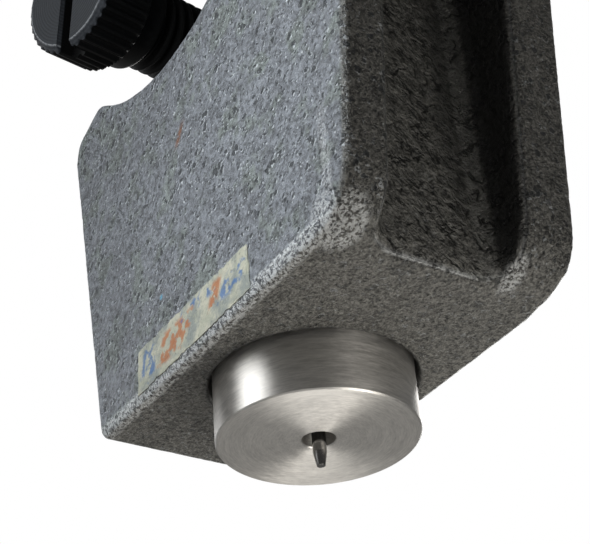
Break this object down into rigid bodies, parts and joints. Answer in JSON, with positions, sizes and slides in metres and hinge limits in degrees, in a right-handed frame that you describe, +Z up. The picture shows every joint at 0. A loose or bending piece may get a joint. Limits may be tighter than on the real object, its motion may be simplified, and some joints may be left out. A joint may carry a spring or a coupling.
{
  "type": "dial hardness tester",
  "caption": "Hand-held spring hardness tester: round dial head on a tapered cast body with a presser foot, a sprung indenter pin and a side clamp screw for a stand rod.",
  "frame": {"origin": "centre of the presser foot's flat bottom face, on the indenter's axis", "axes": "+Z up along the indenter's axis, from the foot to the dial head; -Y out of the dial and the label face; +X out of the narrow side with the channel"},
  "size_m": [0.0745, 0.0499, 0.1414],
  "materials": {
    "grey_enamel": "wrinkled grey enamel over a casting, worn on its edges",
    "bright_steel": "fine turned",
    "foot_steel": "turned and brushed",
    "indenter_steel": "hardened and polished",
    "spring_steel": "tempered",
    "black_steel": "blackened",
    "brass": "fine turned",
    "dial_white": "matt white",
    "pointer_black": "matt black",
    "bezel_metal": "satin",
    "crystal_clear": "clear",
    "gasket_black": "matt",
    "tape_cream": "worn tape"
  },
  "bodies": {
    "housing": {"cast_body": "grey_enamel", "block_rear_cover": "grey_enamel", "rear_cover_screws": "black_steel", "head_back_cover": "grey_enamel", "back_cover_screws": "black_steel", "label_tape": "tape_cream", "presser_foot": "foot_steel", "foot_grub_screw": "black_steel", "lower_guide_bush": "brass", "measuring_spring": "spring_steel", "spring_adjuster": "brass", "upper_guide_bush": "brass", "rod_guide_bush": "brass", "movement_back_plate": "brass", "movement_front_plate": "brass", "plate_pillars": "bright_steel", "pillar_screws": "bright_steel", "movement_screws": "bright_steel", "hairspring": "spring_steel", "hairspring_stud": "bright_steel", "dial_plate": "dial_white", "dial_screws": "bright_steel", "crystal_gasket": "gasket_black", "crystal": "crystal_clear", "bezel": "bezel_metal"},
    "spindle_set": {"indenter": "indenter_steel", "spindle": "bright_steel", "yoke": "bright_steel", "yoke_screws": "black_steel", "push_rod": "bright_steel"},
    "transfer_set": {"transfer_arbor": "bright_steel", "rack_pinion": "brass", "transfer_wheel": "brass"},
    "pointer_set": {"centre_arbor": "bright_steel", "centre_pinion": "brass", "hairspring_collet": "brass", "pointer": "pointer_black"},
    "clamp_foot": {"clamp_pad": "brass"},
    "clamp_knob": {"clamp_screw": "black_steel"}
  },
  "joints": [
    {"name": "spindle_slide", "type": "slide", "parent": "housing", "child": "spindle_set", "axis": [0, 0, 1], "range_m": [0, 0.0025], "stiffness_N_per_m": 3000, "springref_m": -0.00018, "deforming": ["measuring_spring"]},
    {"name": "transfer_turn", "type": "hinge", "parent": "housing", "child": "transfer_set", "pos_m": [-0.00375, 0.002, 0.09234], "axis": [0, 1, 0], "range_deg": [-50.3, 0]},
    {"name": "pointer_turn", "type": "hinge", "parent": "housing", "child": "pointer_set", "pos_m": [0.00104, 0, 0.104], "axis": [0, 1, 0], "range_deg": [0, 301.6]},
    {"name": "clamp_advance", "type": "slide", "parent": "housing", "child": "clamp_foot", "axis": [-0.2432, 0.9609, 0.1323], "range_m": [-0.00455, 0.01055]},
    {"name": "clamp_turn", "type": "hinge", "parent": "clamp_foot", "child": "clamp_knob", "pos_m": [-0.0224, 0, 0.064], "axis": [-0.2432, 0.9609, 0.1323], "range_deg": [-1080, 2520]}
  ],
  "couplings": [
    {"joint": "transfer_turn", "follows": "spindle_slide", "rad_per_m": -350.88},
    {"joint": "pointer_turn", "follows": "spindle_slide", "rad_per_m": 2105.3},
    {"joint": "clamp_advance", "follows": "clamp_turn", "m_per_rad": 0.00023873}
  ]
}
